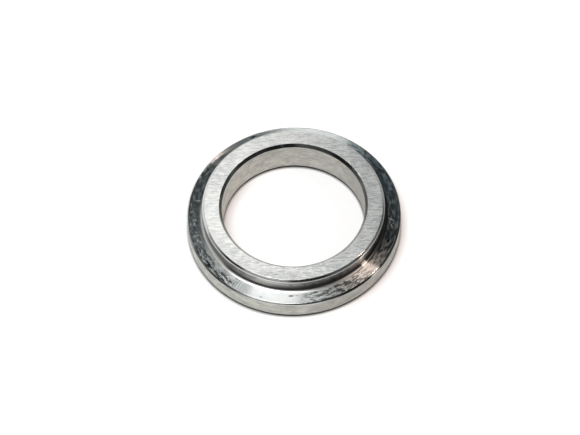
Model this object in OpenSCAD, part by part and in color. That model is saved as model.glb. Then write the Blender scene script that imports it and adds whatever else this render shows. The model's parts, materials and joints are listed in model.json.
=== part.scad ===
// Bearing sleeve: a flanged ring turned in one piece from bar.
// It rests on the back of its flange with the spigot up, and the bore's axis is +Z.
// The origin is the centre of the bore at the resting face.

/* [Bore] */
// Diameter of the bore, which slips over the shaft
bore_d = 20; // [8:0.5:60]
// Width of the bevel at the mouth of the bore, on the spigot's end
mouth_bevel = 0.35; // [0.05:0.05:0.6]
// Depth of the same bevel, which is a little steeper than 45 degrees
mouth_depth = 0.45; // [0.05:0.05:1]
// Bevel at the back of the bore, on the resting face
back_mouth_bevel = 0.2; // [0.05:0.05:0.6]

/* [Spigot] */
// Wall between the bore and the outside of the spigot
spigot_wall = 2.75; // [1.5:0.25:8]
// Height of the spigot above the shoulder
spigot_h = 2.3; // [1.5:0.1:12]
// Bevel round the spigot's end
spigot_bevel = 0.3; // [0.05:0.05:0.5]

/* [Flange] */
// Width of the shoulder, from the spigot to the rim of the flange
shoulder_w = 2.25; // [1.25:0.25:10]
// Thickness of the flange
flange_t = 3.1; // [1:0.1:12]
// Bevel where the rim meets the shoulder
rim_bevel = 0.2; // [0.05:0.05:0.4]
// Bevel where the rim meets the resting face
back_rim_bevel = 0.2; // [0.05:0.05:0.4]
// Radius of the fillet at the foot of the spigot
foot_r = 0.45; // [0.1:0.05:0.7]

/* [Hidden] */

bore_r = bore_d / 2;
spigot_r = bore_r + spigot_wall;
flange_r = spigot_r + shoulder_w;
total_h = flange_t + spigot_h;

// Facets round the axis, and round the fillet's small circle
ring_fn = 180;
fillet_fn = 96;
// How far the fillet's block reaches into the metal behind it
bite = 0.2;

// Half section without the fillet, from the back of the bore outwards and up
module turned_outline() {
    polygon([
        [bore_r, back_mouth_bevel],
        [bore_r + back_mouth_bevel, 0],
        [flange_r - back_rim_bevel, 0],
        [flange_r, back_rim_bevel],
        [flange_r, flange_t - rim_bevel],
        [flange_r - rim_bevel, flange_t],
        [spigot_r, flange_t],
        [spigot_r, total_h - spigot_bevel],
        [spigot_r - spigot_bevel, total_h],
        [bore_r + mouth_bevel, total_h],
        [bore_r, total_h - mouth_depth]
    ]);
}

// Hollow corner that the tool's nose leaves between the spigot and the shoulder
module foot_fillet() {
    difference() {
        translate([spigot_r - bite, flange_t - bite])
            square(foot_r + bite);
        translate([spigot_r + foot_r, flange_t + foot_r])
            circle(r = foot_r, $fn = fillet_fn);
    }
}

module sleeve() {
    color([0.72, 0.72, 0.70])
        rotate_extrude($fn = ring_fn) {
            turned_outline();
            foot_fillet();
        }
}

sleeve();
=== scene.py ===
import json
import math

import bpy
from mathutils import Matrix, Vector

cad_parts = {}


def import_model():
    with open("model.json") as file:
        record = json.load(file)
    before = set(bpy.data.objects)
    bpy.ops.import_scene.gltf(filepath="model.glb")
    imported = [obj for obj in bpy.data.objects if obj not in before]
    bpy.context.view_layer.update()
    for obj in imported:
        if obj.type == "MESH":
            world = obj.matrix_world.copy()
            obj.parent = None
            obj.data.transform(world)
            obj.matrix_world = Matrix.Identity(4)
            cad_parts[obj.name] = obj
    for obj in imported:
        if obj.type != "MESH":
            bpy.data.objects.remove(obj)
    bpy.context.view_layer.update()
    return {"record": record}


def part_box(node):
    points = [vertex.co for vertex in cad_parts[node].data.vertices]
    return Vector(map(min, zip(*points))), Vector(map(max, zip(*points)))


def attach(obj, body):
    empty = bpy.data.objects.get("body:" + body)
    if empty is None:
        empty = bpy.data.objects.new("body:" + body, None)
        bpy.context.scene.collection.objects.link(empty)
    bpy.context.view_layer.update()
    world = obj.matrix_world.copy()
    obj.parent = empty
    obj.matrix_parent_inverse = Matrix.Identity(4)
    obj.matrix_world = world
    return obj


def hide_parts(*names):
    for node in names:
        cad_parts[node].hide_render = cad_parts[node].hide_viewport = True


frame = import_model()

MM = 0.001

# Main sizes, in metres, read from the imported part
record = frame["record"]
mounts = {m["name"]: m for m in record["mounts"]}
low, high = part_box("sleeve")
BORE_R = mounts["bore"]["dims"]["r_mm"] * MM
SPIGOT_R = mounts["spigot"]["dims"]["r_mm"] * MM
SHOULDER_Z = mounts["shoulder"]["pos_m"][2]
FLANGE_R = (high.x - low.x) / 2
TOP_Z = high.z

# Edge breaks and the fillet at the spigot's foot
BACK_MOUTH_BEVEL = 0.2 * MM
MOUTH_BEVEL = 0.35 * MM
MOUTH_DEPTH = 0.45 * MM
SPIGOT_BEVEL = 0.3 * MM
RIM_BEVEL = 0.2 * MM
FOOT_R = 0.45 * MM

# Radius on the outline's corners: any corner, and both ends of the two outer bevels that show
CORNER_R = 0.025 * MM
RIM_LOWER_R = 0.2 * MM
RIM_UPPER_R = 0.07 * MM
SPIGOT_LOWER_R = 0.34 * MM
SPIGOT_UPPER_R = 0.06 * MM

# Mesh steps: round the axis, on a corner and on the fillet, and along each kind of side
AROUND = 720
CORNER_STEPS = 6
FILLET_STEPS = 12
BEVEL_STEPS = 3
FOOT_STEPS = 4
FLANGE_STEPS = 5
FACE_STEPS = 6

# Finishes, in the order of the material slots, and those that are bevels
FINISHES = [
    "shoulder", "end_face", "wall", "bore", "edge", "rim_edge", "mouth", "foot", "fillet", "back",
]
BEVELS = ["edge", "rim_edge", "mouth"]


# Shape

class Outline:
    """Closed half section, as corners; each has its radius, and the side that leaves it."""

    def __init__(self):
        self.corners = []

    def side(self, r, z, finish, steps, radius=CORNER_R):
        """Adds a corner, and the side that leaves it."""
        self.corners.append((Vector((r, z)), finish, steps, radius))

    def points(self):
        """Every point round the section as (r, z, normal r, normal z, finish of what leaves it)."""
        made = []
        count = len(self.corners)
        for i, (here, finish, steps, radius) in enumerate(self.corners):
            before, arriving = self.corners[i - 1][:2]
            after, _, _, next_radius = self.corners[(i + 1) % count]
            beyond = self.corners[(i + 2) % count][0]
            if radius == FOOT_R:
                arc_finish, arc_steps = "fillet", FILLET_STEPS
            else:
                arc_finish, arc_steps = finish if finish in BEVELS else arriving, CORNER_STEPS
            arc = corner_arc(before, here, after, radius, arc_steps, arc_finish)
            arc[-1] = (*arc[-1][:4], finish)
            made += arc
            made += straight(before, here, after, beyond, radius, next_radius, finish, steps)
        return made


def left_normal(a, b):
    """Outward normal of the side from a to b, for a section walked anticlockwise."""
    along = (b - a).normalized()
    return Vector((along.y, -along.x))


def cut_back(before, here, after, radius):
    """How far an arc of that radius reaches along both sides of a corner."""
    a = (before - here).normalized()
    b = (after - here).normalized()
    angle = a.angle(b)
    return radius / math.tan(angle / 2)


def corner_arc(before, here, after, radius, steps, finish):
    """Points on the arc that rounds a corner, both ends included."""
    n0 = left_normal(before, here)
    n1 = left_normal(here, after)
    turn = n0.x * n1.y - n0.y * n1.x
    reach = cut_back(before, here, after, radius)
    start = here + (before - here).normalized() * reach
    sign = 1 if turn > 0 else -1
    centre = start - n0 * radius * sign
    swing = math.atan2(turn, n0.dot(n1))
    made = []
    for k in range(steps + 1):
        a = swing * k / steps
        c, s = math.cos(a), math.sin(a)
        n = Vector((n0.x * c - n0.y * s, n0.x * s + n0.y * c))
        p = centre + n * radius * sign
        made.append((p.x, p.y, n.x, n.y, finish))
    return made


def straight(before, here, after, beyond, radius, next_radius, finish, steps):
    """Points strictly between the arcs at both ends of a side."""
    start = here + (after - here).normalized() * cut_back(before, here, after, radius)
    end = after + (here - after).normalized() * cut_back(here, after, beyond, next_radius)
    n = left_normal(here, after)
    made = []
    for k in range(1, steps):
        p = start.lerp(end, k / steps)
        made.append((p.x, p.y, n.x, n.y, finish))
    return made


def section():
    """The sleeve's half section, walked anticlockwise from the back of the bore."""
    o = Outline()
    o.side(BORE_R, BACK_MOUTH_BEVEL, "edge", BEVEL_STEPS)
    o.side(BORE_R + BACK_MOUTH_BEVEL, 0, "back", FACE_STEPS)
    o.side(FLANGE_R - RIM_BEVEL, 0, "edge", BEVEL_STEPS)
    o.side(FLANGE_R, RIM_BEVEL, "wall", FLANGE_STEPS)
    o.side(FLANGE_R, SHOULDER_Z - RIM_BEVEL, "rim_edge", BEVEL_STEPS, RIM_LOWER_R)
    o.side(FLANGE_R - RIM_BEVEL, SHOULDER_Z, "shoulder", FLANGE_STEPS, RIM_UPPER_R)
    o.side(SPIGOT_R, SHOULDER_Z, "foot", FOOT_STEPS, FOOT_R)
    o.side(SPIGOT_R, TOP_Z - SPIGOT_BEVEL, "edge", BEVEL_STEPS, SPIGOT_LOWER_R)
    o.side(SPIGOT_R - SPIGOT_BEVEL, TOP_Z, "end_face", FACE_STEPS, SPIGOT_UPPER_R)
    o.side(BORE_R + MOUTH_BEVEL, TOP_Z, "mouth", BEVEL_STEPS)
    o.side(BORE_R, TOP_Z - MOUTH_DEPTH, "bore", FACE_STEPS)
    return o.points()


def lathe(name, ring, around):
    """Turns the section about Z into a closed mesh with exact normals, a finish on each face."""
    mesh = bpy.data.meshes.new(name)
    verts, normals = [], []
    for i in range(around):
        a = math.tau * i / around
        c, s = math.cos(a), math.sin(a)
        for r, z, nr, nz, _ in ring:
            verts.append((r * c, r * s, z))
            normals.append((nr * c, nr * s, nz))
    count = len(ring)
    faces, slots = [], []
    for i in range(around):
        a, b = i * count, ((i + 1) % around) * count
        for k in range(count):
            m = (k + 1) % count
            faces.append((a + k, b + k, b + m, a + m))
            slots.append(FINISHES.index(ring[k][4]))
    mesh.from_pydata(verts, [], faces)
    mesh.polygons.foreach_set("material_index", slots)
    mesh.polygons.foreach_set("use_smooth", [True] * len(faces))
    mesh.update()
    mesh.normals_split_custom_set_from_vertices(normals)
    piece = bpy.data.objects.new(name, mesh)
    bpy.context.scene.collection.objects.link(piece)
    return piece


# Nodes

# Turn from the tangent that lays the metal's highlights across its grain, as a share of a full turn
ACROSS = 0.25
# Soft edge of an oval, as the square of the distance from its middle over its half size
OVAL_OUT = 1.5
OVAL_IN = 0.4


class Tree:
    """Short way to write the nodes of a material or of the world."""

    def __init__(self, owner):
        self.owner = owner
        owner.use_nodes = True
        self.nodes = owner.node_tree.nodes
        self.links = owner.node_tree.links
        self.nodes.clear()

    def put(self, kind, settings=None, **inputs):
        """A node with its settings, and its inputs by name, with _ for a space."""
        node = self.nodes.new(kind)
        for key, value in (settings or {}).items():
            setattr(node, key, value)
        for key, value in inputs.items():
            self.plug(node.inputs[key.replace("_", " ")], value)
        return node

    def plug(self, socket, value):
        """Links a socket's value, or sets a plain one."""
        if isinstance(value, bpy.types.NodeSocket):
            self.links.new(value, socket)
        else:
            socket.default_value = value

    def math(self, operation, a, b=0.0, c=0.0, clamp=False):
        node = self.nodes.new("ShaderNodeMath")
        node.operation = operation
        node.use_clamp = clamp
        for socket, value in zip(node.inputs, (a, b, c)):
            self.plug(socket, value)
        return node.outputs[0]

    def times(self, a, b):
        return self.math("MULTIPLY", a, b)

    def most(self, a, b):
        """The greater of the two."""
        return self.math("MAXIMUM", a, b)

    def line(self, value, slope, base):
        """The value times the slope, plus the base."""
        return self.math("MULTIPLY_ADD", value, slope, base)

    def inverse(self, value):
        """1 less the value."""
        return self.math("SUBTRACT", 1.0, value)

    def vector(self, operation, a, b=None, scale=None):
        node = self.nodes.new("ShaderNodeVectorMath")
        node.operation = operation
        self.plug(node.inputs[0], a)
        if b is not None:
            self.plug(node.inputs[1], b)
        if scale is not None:
            self.plug(node.inputs["Scale"], scale)
        number = operation in ("LENGTH", "DOT_PRODUCT")
        return node.outputs["Value" if number else "Vector"]

    def join(self, x, y, z):
        node = self.nodes.new("ShaderNodeCombineXYZ")
        for socket, value in zip(node.inputs, (x, y, z)):
            self.plug(socket, value)
        return node.outputs[0]

    def rise(self, value, start, end):
        """0 up to the start, 1 from the end on, and a straight line between them."""
        node = self.nodes.new("ShaderNodeValToRGB")
        for element, position in zip(node.color_ramp.elements, (start, end)):
            element.position = position
        self.plug(node.inputs["Fac"], value)
        return node.outputs["Color"]

    def fade(self, value, start, end):
        """Smooth step from 0 at the start to 1 at the end, which may be the lower."""
        node = self.put("ShaderNodeMapRange", {"interpolation_type": "SMOOTHSTEP"}, Value=value)
        node.inputs["From Min"].default_value = start
        node.inputs["From Max"].default_value = end
        return node.outputs[0]

    def mix(self, factor, a, b):
        """Colour a where the factor is 0 and colour b where it is 1."""
        node = self.nodes.new("ShaderNodeMix")
        node.data_type = "RGBA"
        self.plug(node.inputs[0], factor)
        self.plug(node.inputs[6], a if isinstance(a, bpy.types.NodeSocket) else (*a, 1))
        self.plug(node.inputs[7], b if isinstance(b, bpy.types.NodeSocket) else (*b, 1))
        return node.outputs[2]

    def tint(self, colour, where, share, shade):
        """Mixes that share of a shade into the colour at a place."""
        return self.mix(self.times(where, share), colour, shade)

    def noise(self, where, scale, detail=2.0, rough=0.5):
        node = self.put("ShaderNodeTexNoise", Vector=where)
        node.inputs["Scale"].default_value = scale
        node.inputs["Detail"].default_value = detail
        node.inputs["Roughness"].default_value = rough
        return node.outputs["Fac"]

    def place(self):
        """The point on the sleeve in millimetres."""
        coords = self.put("ShaderNodeTexCoord").outputs["Object"]
        return self.vector("SCALE", coords, scale=1 / MM)

    def polar(self):
        """(direction from the axis, distance from it, height), in millimetres."""
        here = self.place()
        flat = self.vector("MULTIPLY", here, (1, 1, 0))
        split = self.put("ShaderNodeSeparateXYZ", Vector=here)
        return self.vector("NORMALIZE", flat), self.vector("LENGTH", flat), split.outputs["Z"]

    def angle(self):
        """Angle round the axis, in radians."""
        split = self.put("ShaderNodeSeparateXYZ", Vector=self.place())
        return self.math("ARCTAN2", split.outputs["Y"], split.outputs["X"])

    def grain(self, around, across, detail, rough):
        """Noise drawn out along the turning, by its scales round the axis and across."""
        direction, radius, height = self.polar()
        run = self.times(self.math("ADD", radius, height), across)
        along = self.vector("SCALE", direction, scale=around)
        where = self.vector("ADD", along, self.join(0, 0, run))
        return self.noise(where, 1.0, detail, rough)

    def climb(self, start, end):
        """0 at one height and 1 at the other, both in metres."""
        return self.fade(self.polar()[2], start / MM, end / MM)

    def outward(self, start, end):
        """0 at one distance from the axis and 1 at the other, both in metres."""
        return self.fade(self.polar()[1], start / MM, end / MM)

    def sector(self, centre, half, soft):
        """1 within half the sector's width of its centre, and 0 past its soft edge, in degrees."""
        a = math.radians(-centre)
        facing = self.vector("DOT_PRODUCT", self.polar()[0], (math.cos(a), math.sin(a), 0))
        return self.fade(facing, math.cos(math.radians(half + soft)), math.cos(math.radians(half)))

    def mark(self, x, y, half_long, half_wide, turn):
        """1 inside a small oval."""
        c, s = math.cos(math.radians(turn)), math.sin(math.radians(turn))
        off = self.vector("SUBTRACT", self.place(), (x, y, 0))
        along = self.vector("DOT_PRODUCT", off, (c / half_long, s / half_long, 0))
        across = self.vector("DOT_PRODUCT", off, (-s / half_wide, c / half_wide, 0))
        reach = self.line(along, along, self.times(across, across))
        return self.fade(reach, OVAL_OUT, OVAL_IN)

    def marks(self, places):
        """1 inside any of the ovals."""
        total = 0.0
        for place in places:
            total = self.most(total, self.mark(*place))
        return total

    def bump(self, height, distance, strength, normal=None):
        """Normal raised by the height, on top of another normal if there is one."""
        node = self.put("ShaderNodeBump", Height=height, Strength=strength)
        node.inputs["Distance"].default_value = distance
        if normal is not None:
            self.plug(node.inputs["Normal"], normal)
        return node.outputs["Normal"]

    def round_tangent(self):
        """Tangent that runs round the bore's axis."""
        settings = {"direction_type": "RADIAL", "axis": "Z"}
        return self.put("ShaderNodeTangent", settings).outputs[0]

    def metal(self, colour, roughness, normal, anisotropic, tangent):
        """Metal whose grain runs along the tangent; gives the material."""
        shader = self.put(
            "ShaderNodeBsdfPrincipled", Base_Color=colour, Roughness=roughness, Normal=normal)
        shader.inputs["Metallic"].default_value = 1.0
        shader.inputs["Anisotropic"].default_value = anisotropic
        shader.inputs["Anisotropic Rotation"].default_value = ACROSS
        self.plug(shader.inputs["Tangent"], tangent)
        return self.output("ShaderNodeOutputMaterial", shader)

    def output(self, kind, shader):
        """Sends the shader to an output, and gives the material or world."""
        self.put(kind, Surface=shader.outputs[0])
        return self.owner

    def seen(self):
        """1 where a ray comes from the camera, from a reflection or through glass, and else 0."""
        path = self.put("ShaderNodeLightPath").outputs
        direct = self.math("ADD", path["Is Camera Ray"], path["Is Glossy Ray"], clamp=True)
        return self.math("ADD", direct, path["Is Transmission Ray"], clamp=True)


def material(name):
    """Node tree of a new material."""
    return Tree(bpy.data.materials.new(name))


# Marks

# Ovals: place x and y, half length, half width in millimetres, and turn in degrees from +X
SHOULDER_PITS = [
    (-0.71, -13.58, 0.38, 0.11, 0),
    (0.1, -13.57, 0.3, 0.04, 0),
    (-4.83, -13.59, 0.2, 0.06, -20),
    (-5.49, 13.37, 0.4, 0.12, 22),
    (13.0, -5.1, 0.3, 0.14, 75),
    (12.5, -6.4, 0.5, 0.1, 55),
]
SHOULDER_SCRATCHES = [
    (13.35, -1.4, 0.9, 0.06, -32),
    (13.6, -2.7, 0.4, 0.05, -75),
    (-13.6, -3.3, 0.5, 0.07, 10),
    (-13.5, -4.2, 0.3, 0.07, 60),
    (-13.4, 2.6, 0.4, 0.06, 0),
    (-13.9, -1.3, 0.25, 0.08, 80),
]
MOUTH_BURRS = [
    (-1.35, 10.1, 0.2, 0.1, 0),
    (8.02, 6.83, 0.28, 0.15, 130),
    (9.33, 4.72, 0.3, 0.15, 115),
]

# Ripples that the tool would leave in a whole turn, and how far clouds push them out of step
RIPPLES = 250
RIPPLE_DRIFT = 14.0

# Depth of the relief, in metres
FINE_RELIEF = 0.00001
LINE_RELIEF = 0.00002
BLOTCH_RELIEF = 0.00006
BURR_RELIEF = 0.00008


# Sectors of the ring: centre, half width and soft edge in degrees; 0 is right and 90 is front

# Both edges of the front highlight, where the face's mottle is painted light and dark
MOTTLED_SHEEN_RIGHT = (65, 15, 10)
MOTTLED_SHEEN_LEFT = (143, 12, 8)
FAINT_RIGHT = (2, 25, 30)
FAINT_LEFT = (190, 28, 14)
# Right: painted shade that takes the warm lamp's haze off the face
SHADED_RIGHT_BAND = (26, 12, 4)
# Right back, where the mottle and the whole sector are painted dark as the dark reflection there
DARK_MOTTLE_BACK = (321, 13, 6)
BLUISH_REFLECTION_BACK = (328, 12, 16)
ARCS_FRONT = (105, 22, 12)
STREAKS_LEFT = (152, 14, 10)
RIPPLED_FRONT = (122, 3, 4)
GLINT_BACK = (221, 1, 3)
GRIT_LEFT = (184, 28, 12)

END_PAINTED_LIGHT = (215, 50, 50)
END_DIM = (118, 25, 30)
MOUTH_WORN = (100, 62, 20)
WALL_SHADED_RIGHT = (25, 30, 50)

FILLET_SHADED_RIGHT = (10, 30, 20)
FILLET_LIT_LEFT_FRONT = (162, 16, 12)
FOOT_SHADED_RIGHT = (45, 48, 25)
FOOT_SHADED_LEFT = (152, 34, 14)

# Where the warm lamp glints on the fillet and on the outer bevels
FILLET_GLINT = (42.7, 0.5, 2.2)
BEVEL_GLINT = (42.7, 0.5, 4.0)

# Where the outer bevels have painted shade: the same, and the share
EDGE_SHADE = [(345, 30, 35, 0.6), (64, 18, 22, 0.38)]
RIM_EDGE_SHADE = [(355, 68, 16, 0.95), (146, 20, 14, 0.6)]

# Where the table is shaded, outside the ring and inside it
SHADE_OUTSIDE = (8, 26, 42)
SHADE_INSIDE = (182, 24, 36)


# Colours of the metal and of the light and shade painted on it, in pairs where noise mixes them

SHOULDER_METAL = (0.60, 0.63, 0.64), (0.70, 0.71, 0.70)
SHOULDER_BLUISH_REFLECTION = (0.36, 0.52, 0.62)
SHOULDER_ARC = (0.30, 0.31, 0.33)
SHOULDER_DARK = (0.035, 0.055, 0.065)
SHOULDER_RIPPLE = (0.28, 0.29, 0.31)
SHOULDER_PIT = (0.02, 0.025, 0.03)
SHOULDER_SHEEN = (0.93, 0.95, 0.95)
SHOULDER_GLINT = (0.86, 0.86, 0.86)
SHOULDER_GRIT = (0.93, 0.98, 0.98)
SHOULDER_SCRATCH = (0.95, 0.95, 0.92)

END_METAL = (0.43, 0.445, 0.45), (0.82, 0.815, 0.80)
END_PAINTED_LIGHT_COLOUR = (0.97, 0.965, 0.95)
END_GREY = (0.45, 0.45, 0.44)
END_WORN = (0.16, 0.165, 0.165)
BURR = (0.95, 0.95, 0.93)

RIM_METAL = (0.60, 0.605, 0.56), (0.345, 0.355, 0.335)
BORE_METAL = (0.585, 0.575, 0.53), (0.38, 0.38, 0.36)
WALL_SHADE_COLOUR = (0.27, 0.255, 0.24)
WALL_CONTACT_SHADE = (0.03, 0.03, 0.028)

BEVEL_METAL = (0.56, 0.57, 0.57), (0.68, 0.67, 0.66)
MOUTH_METAL = (0.15, 0.155, 0.155), (0.26, 0.26, 0.25)
BEVEL_SHADE = (0.04, 0.045, 0.045)
BEVEL_GLINT_COLOUR = (0.80, 0.79, 0.77)

FILLET_METAL = (0.58, 0.59, 0.59), (0.70, 0.70, 0.69)
FILLET_UPPER_SHADE = (0.05, 0.05, 0.05)
FILLET_SHADE_COLOUR = (0.035, 0.035, 0.035)
FILLET_PAINTED_LIGHT = (0.97, 0.95, 0.90)
FILLET_GLINT_COLOUR = (0.75, 0.74, 0.72)

SPIGOT_METAL = (0.25, 0.25, 0.24), (0.42, 0.41, 0.39)
SPIGOT_DARK = (0.10, 0.10, 0.095)
SPIGOT_DIM = (0.10, 0.105, 0.10)
SPIGOT_FOOT_SHADE = (0.05, 0.05, 0.05)


# Finishes

def shoulder_finish():
    """Bright turned face: near mirror along the grooves and spread out across them."""
    t = material("turned_face")
    grooves = t.grain(3.0, 14.0, 3.0, 0.6)
    patches = t.grain(15.0, 3.4, 5.0, 0.72)
    clouds = t.noise(t.place(), 0.35, 3.0, 0.6)
    specks = t.grain(34.0, 5.0, 3.0, 0.7)

    # Dark patches: the face's real mottle, painted dark as the dark reflection that shows in it,
    # strongly at both edges of the front highlight, faintly at the right and the left, and across
    # the right back
    mottled_sheen_right = t.sector(*MOTTLED_SHEEN_RIGHT)
    mottled_sheen = t.most(t.sector(*MOTTLED_SHEEN_LEFT), mottled_sheen_right)
    faint = t.most(t.sector(*FAINT_RIGHT), t.sector(*FAINT_LEFT))
    dark = t.rise(patches, 0.46, 0.53)
    dim = t.rise(patches, 0.42, 0.57)
    dark_patches = t.times(dark, t.line(mottled_sheen, 0.9, 0.05))
    dark_patches = t.times(dark_patches, t.line(mottled_sheen_right, -0.3, 1.0))
    dark_patches = t.most(dark_patches, t.times(dim, t.times(faint, 0.5)))
    dark_patches = t.most(dark_patches, t.times(t.sector(*DARK_MOTTLE_BACK), t.line(dim, 0.6, 0.25)))

    # Metal, a painted bluish reflection at the right back, and the arcs that the tool left
    colour = t.mix(t.rise(clouds, 0.35, 0.65), *SHOULDER_METAL)
    colour = t.tint(colour, t.sector(*BLUISH_REFLECTION_BACK), 0.4, SHOULDER_BLUISH_REFLECTION)
    arcs = t.rise(t.grain(5.0, 11.0, 3.0, 0.65), 0.54, 0.64)
    colour = t.tint(colour, t.times(arcs, t.sector(*ARCS_FRONT)), 0.12, SHOULDER_ARC)

    # Real streaks beside the fillet at the left front, painted light as the sheen on them, which
    # take the place of the dark patches
    beside = t.outward(SPIGOT_R + 3.0 * FOOT_R, SPIGOT_R + 1.2 * FOOT_R)
    by_foot = t.times(beside, t.sector(*STREAKS_LEFT))
    streaks = t.rise(t.grain(7.0, 9.0, 3.0, 0.6), 0.4, 0.58)
    by_foot = t.times(by_foot, t.line(streaks, 0.75, 0.25))
    dark_patches = t.times(dark_patches, t.line(by_foot, -0.8, 1.0))
    # Painted shade at the right, which takes the warm lamp's haze off the face
    dark_patches = t.most(dark_patches, t.times(t.sector(*SHADED_RIGHT_BAND), t.line(dim, 0.5, 0.35)))
    colour = t.mix(dark_patches, colour, SHOULDER_DARK)

    # Ripples and single pits
    uneven = t.times(clouds, RIPPLE_DRIFT)
    ripples = t.math("SINE", t.line(t.angle(), RIPPLES, uneven))
    ripples = t.times(ripples, t.sector(*RIPPLED_FRONT))
    troughs = t.math("MULTIPLY", ripples, 0.45, clamp=True)
    colour = t.mix(troughs, colour, SHOULDER_RIPPLE)
    colour = t.mix(t.marks(SHOULDER_PITS), colour, SHOULDER_PIT)

    # Painted sheen: light metal between the dark patches at the highlight's edges and on the
    # streaks beside the fillet, and the warm lamp's painted glint at the left back
    light = t.times(t.inverse(dark), mottled_sheen)
    pale = t.times(t.inverse(dim), faint)
    light = t.most(light, t.times(pale, 1.2))
    light = t.most(light, t.times(by_foot, 1.2))
    colour = t.mix(t.times(light, mottled_sheen), colour, SHOULDER_SHEEN)
    glint = t.sector(*GLINT_BACK)
    colour = t.mix(glint, colour, SHOULDER_GLINT)

    # Scuffs, grit and scratches, which are rough and so catch the overhead lamp
    scuffs = t.times(t.rise(specks, 0.57, 0.66), 0.22)
    grit = t.rise(t.noise(t.place(), 2.2, 4.0, 0.8), 0.5, 0.62)
    grit = t.times(grit, t.sector(*GRIT_LEFT))
    colour = t.tint(colour, grit, 0.6, SHOULDER_GRIT)
    scuffs = t.line(grit, 0.26, scuffs)
    rough = t.line(light, 0.36, t.math("ADD", 0.30, scuffs))
    rough = t.line(glint, 0.1, rough)
    scratched = t.marks(SHOULDER_SCRATCHES)
    colour = t.mix(scratched, colour, SHOULDER_SCRATCH)
    rough = t.line(scratched, 0.45, rough)

    blotches = t.bump(patches, BLOTCH_RELIEF, t.line(mottled_sheen, 0.6, 0.3))
    rippled = t.bump(ripples, FINE_RELIEF, 1.0, blotches)
    normal = t.bump(grooves, FINE_RELIEF, 0.35, rippled)
    return t.metal(colour, rough, normal, 1.0, t.round_tangent())


def end_face_finish():
    """Linished face: fine straight scratches along X."""
    t = material("linished_face")
    here = t.place()
    wander = t.line(t.noise(here, 0.2), 1.2, -0.6)
    here = t.vector("ADD", here, t.join(0.0, wander, 0.0))
    scratch = t.noise(t.vector("MULTIPLY", here, (1.1, 6.2, 1.0)), 1.0, 3.0, 0.65)
    grain = t.noise(here, 4.0, 3.0, 0.7)
    marks = t.line(grain, 0.28, t.times(scratch, 0.72))
    colour = t.mix(t.rise(marks, 0.38, 0.58), *END_METAL)
    # Painted light at the left back
    colour = t.tint(colour, t.sector(*END_PAINTED_LIGHT), 0.3, END_PAINTED_LIGHT_COLOUR)
    front = t.times(t.sector(*END_DIM), t.outward(SPIGOT_R - 2.0 * MM, SPIGOT_R - 0.6 * MM))
    colour = t.tint(colour, front, 0.3, END_GREY)
    lip = t.outward(BORE_R + 1.35 * MOUTH_BEVEL, BORE_R + 1.15 * MOUTH_BEVEL)
    colour = t.tint(colour, t.times(lip, t.sector(*MOUTH_WORN)), 0.8, END_WORN)
    burrs = t.marks(MOUTH_BURRS)
    colour = t.mix(burrs, colour, BURR)
    rough = t.line(scratch, 0.2, 0.22)
    rough = t.line(burrs, 0.35, rough)
    normal = t.bump(burrs, BURR_RELIEF, 1.0, t.bump(marks, LINE_RELIEF, 0.6))
    along_x = t.join(1.0, 0.0, 0.0)
    return t.metal(colour, rough, normal, 0.94, along_x)


def wall_finish(name, metal, roughness):
    """Satin turned wall with fine lines round it, with painted shade at its foot where it meets the
    table and on its right side.
    """
    t = material(name)
    lines = t.grain(10.0, 5.0, 4.0, 0.72)
    cloud = t.grain(6.0, 1.0, 3.0, 0.6)
    shade = t.line(lines, 0.7, t.times(cloud, 0.3))
    colour = t.mix(t.rise(shade, 0.42, 0.58), *metal)
    # Painted shade on the right side
    colour = t.tint(colour, t.sector(*WALL_SHADED_RIGHT), 0.45, WALL_SHADE_COLOUR)
    # Painted contact shadow at the foot, where it meets the table
    colour = t.mix(t.climb(2.0 * RIM_BEVEL, 3.2 * RIM_BEVEL), WALL_CONTACT_SHADE, colour)
    rough = t.line(lines, 0.15, roughness)
    normal = t.bump(lines, LINE_RELIEF, 0.4)
    return t.metal(colour, rough, normal, 0.6, t.round_tangent())


def edge_finish(name, metal, roughness, shaded_sectors=()):
    """Bevel left by the tool. One that has sectors of painted shade also has the warm lamp's
    painted glint.
    """
    t = material(name)
    lines = t.grain(5.0, 12.0, 3.0, 0.6)
    colour = t.mix(lines, *metal)
    shaded_share = 0.0
    for centre, half, soft, share in shaded_sectors:
        shaded_share = t.most(shaded_share, t.times(t.sector(centre, half, soft), share))
    colour = t.mix(shaded_share, colour, BEVEL_SHADE)
    # Painted glint of the warm lamp
    if shaded_sectors:
        colour = t.mix(t.sector(*BEVEL_GLINT), colour, BEVEL_GLINT_COLOUR)
    colour = t.mix(t.marks(MOUTH_BURRS), colour, BURR)
    rough = t.line(lines, 0.12, roughness)
    normal = t.bump(lines, FINE_RELIEF, 0.3)
    return t.metal(colour, rough, normal, 0.5, t.round_tangent())


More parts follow.
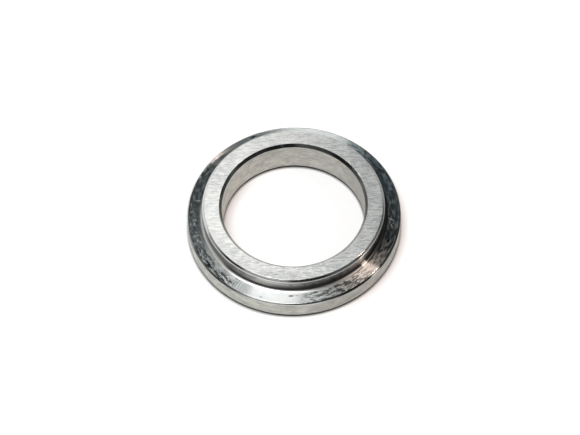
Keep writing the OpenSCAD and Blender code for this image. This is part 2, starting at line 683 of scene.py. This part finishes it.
def fillet_finish():
    """Bright curve at the spigot's foot, with painted shade in its upper part and at the right,
    painted light at the left front, and the warm lamp's painted glint.
    """
    t = material("bright_fillet")
    lines = t.grain(3.0, 10.0, 3.0, 0.6)
    colour = t.mix(lines, *FILLET_METAL)
    # Painted shade in the upper part, where it turns into the wall, and at the right
    upper = t.climb(SHOULDER_Z + 0.3 * FOOT_R, SHOULDER_Z + 0.55 * FOOT_R)
    colour = t.mix(upper, colour, FILLET_UPPER_SHADE)
    colour = t.tint(colour, t.sector(*FILLET_SHADED_RIGHT), 0.95, FILLET_SHADE_COLOUR)
    rough = t.line(lines, 0.1, 0.32)
    # Painted light at the left front, on the fillet's inner part
    inner = (SPIGOT_R + 0.8 * FOOT_R, SPIGOT_R + 0.45 * FOOT_R)
    bright = t.times(t.sector(*FILLET_LIT_LEFT_FRONT), t.outward(*inner))
    colour = t.tint(colour, bright, 0.6, FILLET_PAINTED_LIGHT)
    rough = t.line(bright, 0.1, rough)
    # Painted glint of the warm lamp
    spot = t.sector(*FILLET_GLINT)
    colour = t.mix(spot, colour, FILLET_GLINT_COLOUR)
    rough = t.line(spot, 0.14, rough)
    normal = t.bump(lines, FINE_RELIEF, 0.25)
    return t.metal(colour, rough, normal, 0.6, t.round_tangent())


def spigot_wall_finish():
    """Satin wall with painted shade towards the corner at its foot, and at the right front and the
    left front.
    """
    t = material("spigot_wall")
    lines = t.grain(4.0, 9.0, 4.0, 0.65)
    colour = t.mix(t.rise(lines, 0.35, 0.65), *SPIGOT_METAL)
    # Painted shade at the right front and the left front
    deep = t.sector(*FOOT_SHADED_RIGHT)
    colour = t.tint(colour, deep, 0.5, SPIGOT_DARK)
    colour = t.tint(colour, t.sector(*FOOT_SHADED_LEFT), 0.45, SPIGOT_DIM)
    # Painted shade towards the corner at the foot, reaching highest at the right front
    above_shade = t.climb(SHOULDER_Z + 0.7 * FOOT_R, SHOULDER_Z + 1.6 * FOOT_R)
    above_deep_shade = t.climb(SHOULDER_Z + 1.6 * FOOT_R, SHOULDER_Z + 3.4 * FOOT_R)
    lit = t.times(above_shade, t.most(above_deep_shade, t.inverse(deep)))
    colour = t.mix(lit, SPIGOT_FOOT_SHADE, colour)
    rough = t.line(lines, 0.12, 0.2)
    normal = t.bump(lines, LINE_RELIEF, 0.4)
    return t.metal(colour, rough, normal, 0.6, t.round_tangent())


def dress(piece):
    """Gives the piece its finishes, in the order of its slots."""
    made = {
        "shoulder": shoulder_finish(),
        "end_face": end_face_finish(),
        "wall": wall_finish("satin_rim", RIM_METAL, 0.38),
        "bore": wall_finish("satin_bore", BORE_METAL, 0.42),
        "edge": edge_finish("bevelled_edge", BEVEL_METAL, 0.14, EDGE_SHADE),
        "rim_edge": edge_finish("rim_bevel", BEVEL_METAL, 0.16, RIM_EDGE_SHADE),
        "mouth": edge_finish("bore_mouth", MOUTH_METAL, 0.14),
        "foot": spigot_wall_finish(),
        "fillet": fillet_finish(),
        "back": shoulder_finish(),
    }
    for name in FINISHES:
        piece.data.materials.append(made[name])


# Studio

FLOOR_SIZE = 4.0
FLOOR_DROP = 0.00002
PAPER = (0.9, 0.9, 0.9, 1)
# Share of the table's white that is its own, to the camera and in the metal
TABLE_GLOW = 0.55
# Distances over which that share rises to all of it, so that no grey band shows at the horizon
GLOW_RISE = (0.25, 0.9)
# Reach of the dark line where the sleeve meets the table
CONTACT = 0.35 * MM
# Reach and colour of the warm shade on the side away from the window
SHADE = 2.2 * MM
WARM_SHADE = (0.58, 0.48, 0.45)
OCCLUSION = {"samples": 8}

WHITE = (1.0, 1.0, 1.0)
SOFT_WHITE = (1.0, 0.99, 0.97)
COPPER = (1.0, 0.80, 0.68)

# Strength of the white surroundings as light; to the camera and in the metal it is 1
ROOM_LIGHT = 0.5

DOME_R = 0.9
DOME_STEPS = {"segments": 96, "ring_count": 48}
DOME_FRONT = (0.020, 0.028, 0.029)
DOME_BACK = (0.048, 0.070, 0.080)
# Where the dome's colour changes, as Y over the radius
DOME_CHANGE = (-0.2, 0.5)
DOME_HIDDEN = ("camera", "diffuse", "transmission", "shadow", "volume_scatter")

# Lamps: name, place, aim, size, power and colour, in metres and watts
CENTRE = (0, 0, 0)
LAMPS = [
    ("overhead", (-0.085, -0.075, 0.33), (-0.085, -0.075, 0), (0.21, 0.25), 1.0, SOFT_WHITE),
    ("back_card", (0, 0.377, 0.184), CENTRE, (0.28, 0.24), 0.14, SOFT_WHITE),
    ("right_front", (0.264, -0.232, 0.192), CENTRE, (0.2, 0.12), 0.012, WHITE),
    ("window", (-0.372, 0.215, 0.04), CENTRE, (0.3, 0.08), 0.068, WHITE),
    ("left_front", (-0.178, -0.297, 0.2), CENTRE, (0.3, 0.08), 0.055, SOFT_WHITE),
    ("left_wide", (-0.353, 0.115, 0.197), CENTRE, (0.4, 0.34), 0.14, WHITE),
    ("right_low", (0.4, 0.05, 0.1), CENTRE, (0.3, 0.1), 0.028, WHITE),
    ("warm_lamp", (0.24, -0.033, 0.25), CENTRE, (0.013, 0.013), 0.45, COPPER),
]

# Camera at the photograph's angle, for an image of 580 by 435; the lens and sensor in millimetres
LENS = 129.1
SENSOR = 36.0
DISTANCE = 0.2937
ELEVATION = math.radians(56.5)
ROLL = -0.0312
# Point that it looks at, as steps from the origin to the picture's right and up
AIM = (-0.57 * MM, 1.11 * MM)
# Nearest distance that it sees
NEAREST = 0.01


def floor():
    """White table. Part of its white is its own, so the sleeve's shadow stays faint."""
    bpy.ops.mesh.primitive_plane_add(size=FLOOR_SIZE, location=(0, 0, -FLOOR_DROP))
    plane = bpy.context.object
    plane.name = "table"
    t = material("white_table")
    direct = t.seen()
    share = t.times(direct, t.line(t.outward(*GLOW_RISE), 1.0 - TABLE_GLOW, TABLE_GLOW))
    paper = t.put("ShaderNodeBsdfDiffuse", Color=PAPER)
    near = t.put("ShaderNodeAmbientOcclusion", OCCLUSION, Distance=CONTACT)
    contact = t.rise(near.outputs["AO"], 0.58, 0.95)
    wide = t.put("ShaderNodeAmbientOcclusion", OCCLUSION, Distance=SHADE)
    lit = t.rise(wide.outputs["AO"], 0.5, 0.88)
    outside = t.times(t.sector(*SHADE_OUTSIDE), t.outward(0.99 * FLANGE_R, FLANGE_R))
    inside = t.times(t.sector(*SHADE_INSIDE), t.outward(1.02 * BORE_R, BORE_R))
    away = t.most(outside, inside)
    tint = t.mix(away, WHITE, t.mix(lit, WARM_SHADE, WHITE))
    white = t.vector("MULTIPLY", contact, tint)
    glow = t.put("ShaderNodeEmission", Color=white, Strength=1.0)
    both = t.put("ShaderNodeMixShader", Fac=share)
    t.plug(both.inputs[1], paper.outputs[0])
    t.plug(both.inputs[2], glow.outputs[0])
    plane.data.materials.append(t.output("ShaderNodeOutputMaterial", both))


def world():
    """White surroundings, dimmer as light than as a background."""
    t = Tree(bpy.data.worlds.new("white_room"))
    strength = t.put("ShaderNodeMapRange", Value=t.seen(), To_Min=ROOM_LIGHT, To_Max=1.0)
    background = t.put("ShaderNodeBackground", Color=(*WHITE, 1), Strength=strength.outputs[0])
    bpy.context.scene.world = t.output("ShaderNodeOutputWorld", background)


def dark_cards():
    """Dark dome over the table, seen only in the metal's reflections."""
    bpy.ops.mesh.primitive_uv_sphere_add(radius=DOME_R, **DOME_STEPS)
    dome = bpy.context.object
    dome.name = "dark_cards"
    for kind in DOME_HIDDEN:
        setattr(dome, "visible_" + kind, False)
    t = material("dark_card")
    here = t.put("ShaderNodeTexCoord").outputs["Object"]
    split = t.put("ShaderNodeSeparateXYZ", Vector=t.vector("NORMALIZE", here))
    behind = t.put("ShaderNodeMapRange", Value=split.outputs["Y"])
    behind.inputs["From Min"].default_value, behind.inputs["From Max"].default_value = DOME_CHANGE
    colour = t.mix(behind.outputs[0], DOME_FRONT, DOME_BACK)
    glow = t.put("ShaderNodeEmission", Color=colour, Strength=1.0)
    dome.data.materials.append(t.output("ShaderNodeOutputMaterial", glow))


def lamp(name, where, aim, size, power, colour):
    """Rectangular lamp that faces its aim and is not seen by the camera."""
    data = bpy.data.lights.new(name, "AREA")
    data.shape = "RECTANGLE"
    data.size, data.size_y = size
    data.energy = power
    data.color = colour
    light = bpy.data.objects.new(name, data)
    light.location = where
    light.rotation_mode = "QUATERNION"
    light.rotation_quaternion = (Vector(aim) - Vector(where)).to_track_quat("-Z", "Y")
    light.visible_camera = False
    bpy.context.scene.collection.objects.link(light)


def camera():
    """Camera above the front of the sleeve, rolled a little."""
    back = Vector((0, -math.cos(ELEVATION), math.sin(ELEVATION)))
    right = Vector((1, 0, 0))
    up = back.cross(right)
    rolled_right = right * math.cos(ROLL) + up * math.sin(ROLL)
    rolled_up = up * math.cos(ROLL) - right * math.sin(ROLL)
    where = back * DISTANCE
    forward = (rolled_right * AIM[0] + rolled_up * AIM[1] - where).normalized()
    side = forward.cross(rolled_up).normalized()
    top = side.cross(forward)
    data = bpy.data.cameras.new("camera")
    data.lens = LENS
    data.sensor_width = SENSOR
    data.clip_start = NEAREST
    view = bpy.data.objects.new("camera", data)
    turn = [[side[i], top[i], -forward[i], where[i]] for i in range(3)] + [[0, 0, 0, 1]]
    view.matrix_world = Matrix(turn)
    bpy.context.scene.collection.objects.link(view)
    bpy.context.scene.camera = view


sleeve = lathe("turned_sleeve", section(), AROUND)
dress(sleeve)
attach(sleeve, "root")
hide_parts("sleeve")

floor()
world()
dark_cards()
for row in LAMPS:
    lamp(*row)
camera()
bpy.context.scene.view_settings.view_transform = "Standard"
